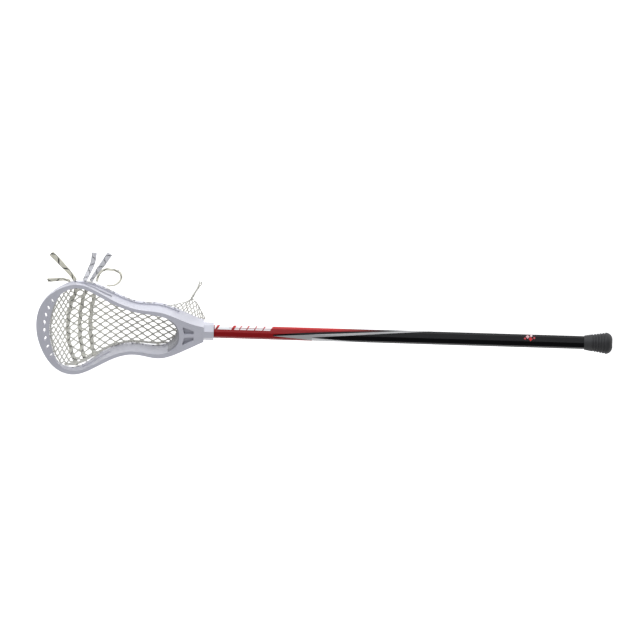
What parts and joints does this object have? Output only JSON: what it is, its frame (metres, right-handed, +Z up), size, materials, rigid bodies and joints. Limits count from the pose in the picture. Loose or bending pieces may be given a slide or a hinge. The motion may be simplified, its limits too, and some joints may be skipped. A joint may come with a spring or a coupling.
{
  "type": "lacrosse stick",
  "caption": "Lacrosse stick with a strung white head on an eight-sided red and black shaft with a ribbed rubber butt cap.",
  "frame": {"origin": "under the middle of the stick, on the surface that the head's back rails rest on", "axes": "+X along the shaft from butt to scoop, +Z up out of the open face of the head, +Y to the left seen from the butt"},
  "size_m": [1.038, 0.2284, 0.0562],
  "materials": {
    "head_plastic": "satin white moulded plastic",
    "foam": "closed-cell foam",
    "steel": "plain",
    "shaft_finish": "gloss red to black with silver wedges",
    "cap_rubber": "matte",
    "mesh_cord": "soft woven nylon",
    "side_string": "braided nylon",
    "lace": "flat woven lace with a dark tracer"
  },
  "bodies": {
    "stick": {"head_frame": "head_plastic", "ball_stop": "foam", "head_screw": "steel", "shaft": "shaft_finish", "pocket_mesh": "mesh_cord", "mesh_flap": "mesh_cord", "bottom_string": "side_string", "left_sidewall_string": "side_string", "right_sidewall_string": "side_string", "top_string": "side_string", "shooting_lace_1": "lace", "shooting_lace_2": "lace", "shooting_lace_3": "lace", "lace_tail_1": "lace", "lace_tail_2": "lace", "lace_tail_3": "lace", "lace_tail_4": "lace", "string_loop": "lace", "flap_tail": "mesh_cord"},
    "butt_cap": {"end_cap": "cap_rubber"}
  },
  "joints": [
    {"name": "cap_pull", "type": "slide", "parent": "stick", "child": "butt_cap", "axis": [-1, 0, 0], "range_m": [0, 0.045]}
  ]
}
